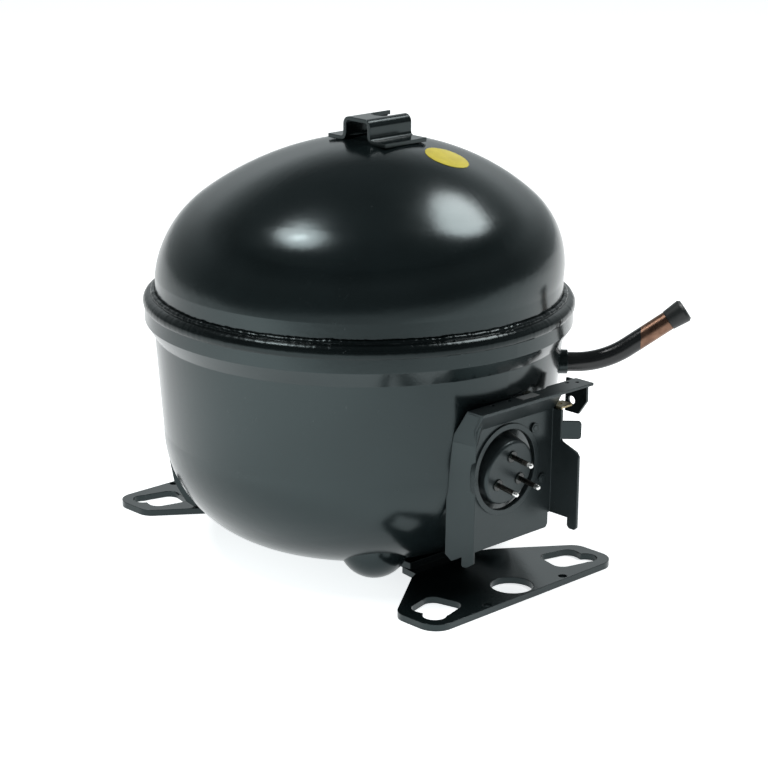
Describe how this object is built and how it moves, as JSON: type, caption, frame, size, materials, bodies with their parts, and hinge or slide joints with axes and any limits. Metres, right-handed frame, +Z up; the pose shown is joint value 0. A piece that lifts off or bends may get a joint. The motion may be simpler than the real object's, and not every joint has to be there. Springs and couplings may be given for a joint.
{
  "type": "hermetic reciprocating compressor",
  "caption": "Welded black steel compressor shell on two foot plates, with a sprung motor and piston pump inside, a terminal fence and stub tubes.",
  "frame": {"origin": "on the shell's axis at the underside of the foot plates, which is the centre of the two middle foot holes", "axes": "+Z up along the shell axis, +X towards the terminal fence and the right foot, feet at +X and -X"},
  "size_m": [0.2322, 0.2063, 0.1985],
  "materials": {
    "black_paint": "gloss black paint over pressed steel",
    "fence_paint": "satin black paint over thin steel sheet",
    "pin_steel": "drawn steel, bright",
    "zinc_steel": "zinc plated steel",
    "glass_bead": "dark green sealing glass",
    "brass": "stamped brass",
    "copper": "drawn copper tube, black paint on its root",
    "rubber": "moulded black rubber",
    "label_yellow": "printed paper sticker",
    "label_grey": "printed paper sticker",
    "spring_steel": "oiled spring steel",
    "nylon": "moulded nylon",
    "lamination": "stamped electrical steel, oiled",
    "winding": "enamelled copper wire, varnished",
    "cast_iron": "cast and machined iron",
    "aluminium": "die cast aluminium",
    "gasket": "fibre gasket",
    "lead_red": "insulated lead wire",
    "ground_steel": "ground and hardened steel"
  },
  "bodies": {
    "shell": {"upper_shell": "black_paint", "lower_shell": "black_paint", "shell_weld": "black_paint", "foot_left": "black_paint", "foot_right": "black_paint", "top_clip": "black_paint", "terminal_body": "fence_paint", "terminal_glass": "glass_bead", "terminal_pins": "pin_steel", "terminal_fence": "fence_paint", "earth_tab": "brass", "fence_rivets": "fence_paint", "fence_label": "label_grey", "oval_label": "label_yellow", "process_tube": "copper", "suction_tube": "copper", "discharge_tube": "copper", "tube_collars": "black_paint", "spring_pegs": "zinc_steel", "springs": "spring_steel", "shock_loop": "copper", "leads": "lead_red", "connector": "nylon"},
    "process_plug": {"process_plug": "rubber"},
    "pump": {"spring_caps": "nylon", "stator_core": "lamination", "windings": "winding", "stator_bolts": "zinc_steel", "crankcase": "cast_iron", "thrust_washer": "ground_steel", "suction_gasket": "gasket", "valve_plate": "ground_steel", "reed_stop": "zinc_steel", "stop_rivets": "zinc_steel", "head_gasket": "gasket", "cylinder_head": "aluminium", "head_bolts": "zinc_steel", "suction_muffler": "nylon", "muffler_cover": "zinc_steel", "cover_bolt": "zinc_steel"},
    "crank": {"crankshaft": "cast_iron", "rotor_core": "lamination", "rotor_cage": "aluminium", "oil_pickup": "zinc_steel"},
    "slide_block": {"slide_block": "ground_steel"},
    "oil_jet": {"oil_jet": "brass"},
    "piston": {"piston": "cast_iron", "yoke_tube": "ground_steel"},
    "suction_reed": {"suction_reed": "spring_steel"},
    "discharge_reed": {"discharge_reed": "spring_steel"}
  },
  "joints": [
    {"name": "pump_float", "type": "slide", "parent": "shell", "child": "pump", "axis": [0, 0, 1], "range_m": [-0.0025, 0.0025], "stiffness_N_per_m": 32000, "springref_m": 0.00214, "deforming": ["springs", "shock_loop", "leads"]},
    {"name": "crank_spin", "type": "hinge", "parent": "pump", "child": "crank", "pos_m": [0, 0, 0.11], "axis": [0, 0, 1], "continuous": true},
    {"name": "block_turn", "type": "hinge", "parent": "crank", "child": "slide_block", "pos_m": [0.009, 0, 0.14], "axis": [0, 0, 1], "continuous": true},
    {"name": "jet_turn", "type": "hinge", "parent": "crank", "child": "oil_jet", "pos_m": [0.0045, 0, 0.14], "axis": [0, 0, 1], "continuous": true},
    {"name": "piston_stroke", "type": "hinge", "parent": "oil_jet", "child": "piston", "pos_m": [0.009, 0, 0.14], "axis": [0, 0, 1], "continuous": true},
    {"name": "suction_reed_lift", "type": "hinge", "parent": "pump", "child": "suction_reed", "pos_m": [0.04328, 0.011, 0.14], "axis": [0, 0, 1], "range_deg": [-4, 0], "stiffness_Nm_per_rad": 0.02},
    {"name": "discharge_reed_lift", "type": "hinge", "parent": "pump", "child": "discharge_reed", "pos_m": [0.0465, -0.009, 0.147], "axis": [0, 0, 1], "range_deg": [-4, 0], "stiffness_Nm_per_rad": 0.02},
    {"name": "plug_pull", "type": "slide", "parent": "shell", "child": "process_plug", "axis": [0.5792, 0.5792, 0.5736], "range_m": [0, 0.02]}
  ],
  "couplings": [
    {"joint": "block_turn", "follows": "crank_spin", "ratio": -1},
    {"joint": "jet_turn", "follows": "crank_spin", "ratio": -2},
    {"joint": "piston_stroke", "follows": "crank_spin", "ratio": 1}
  ]
}
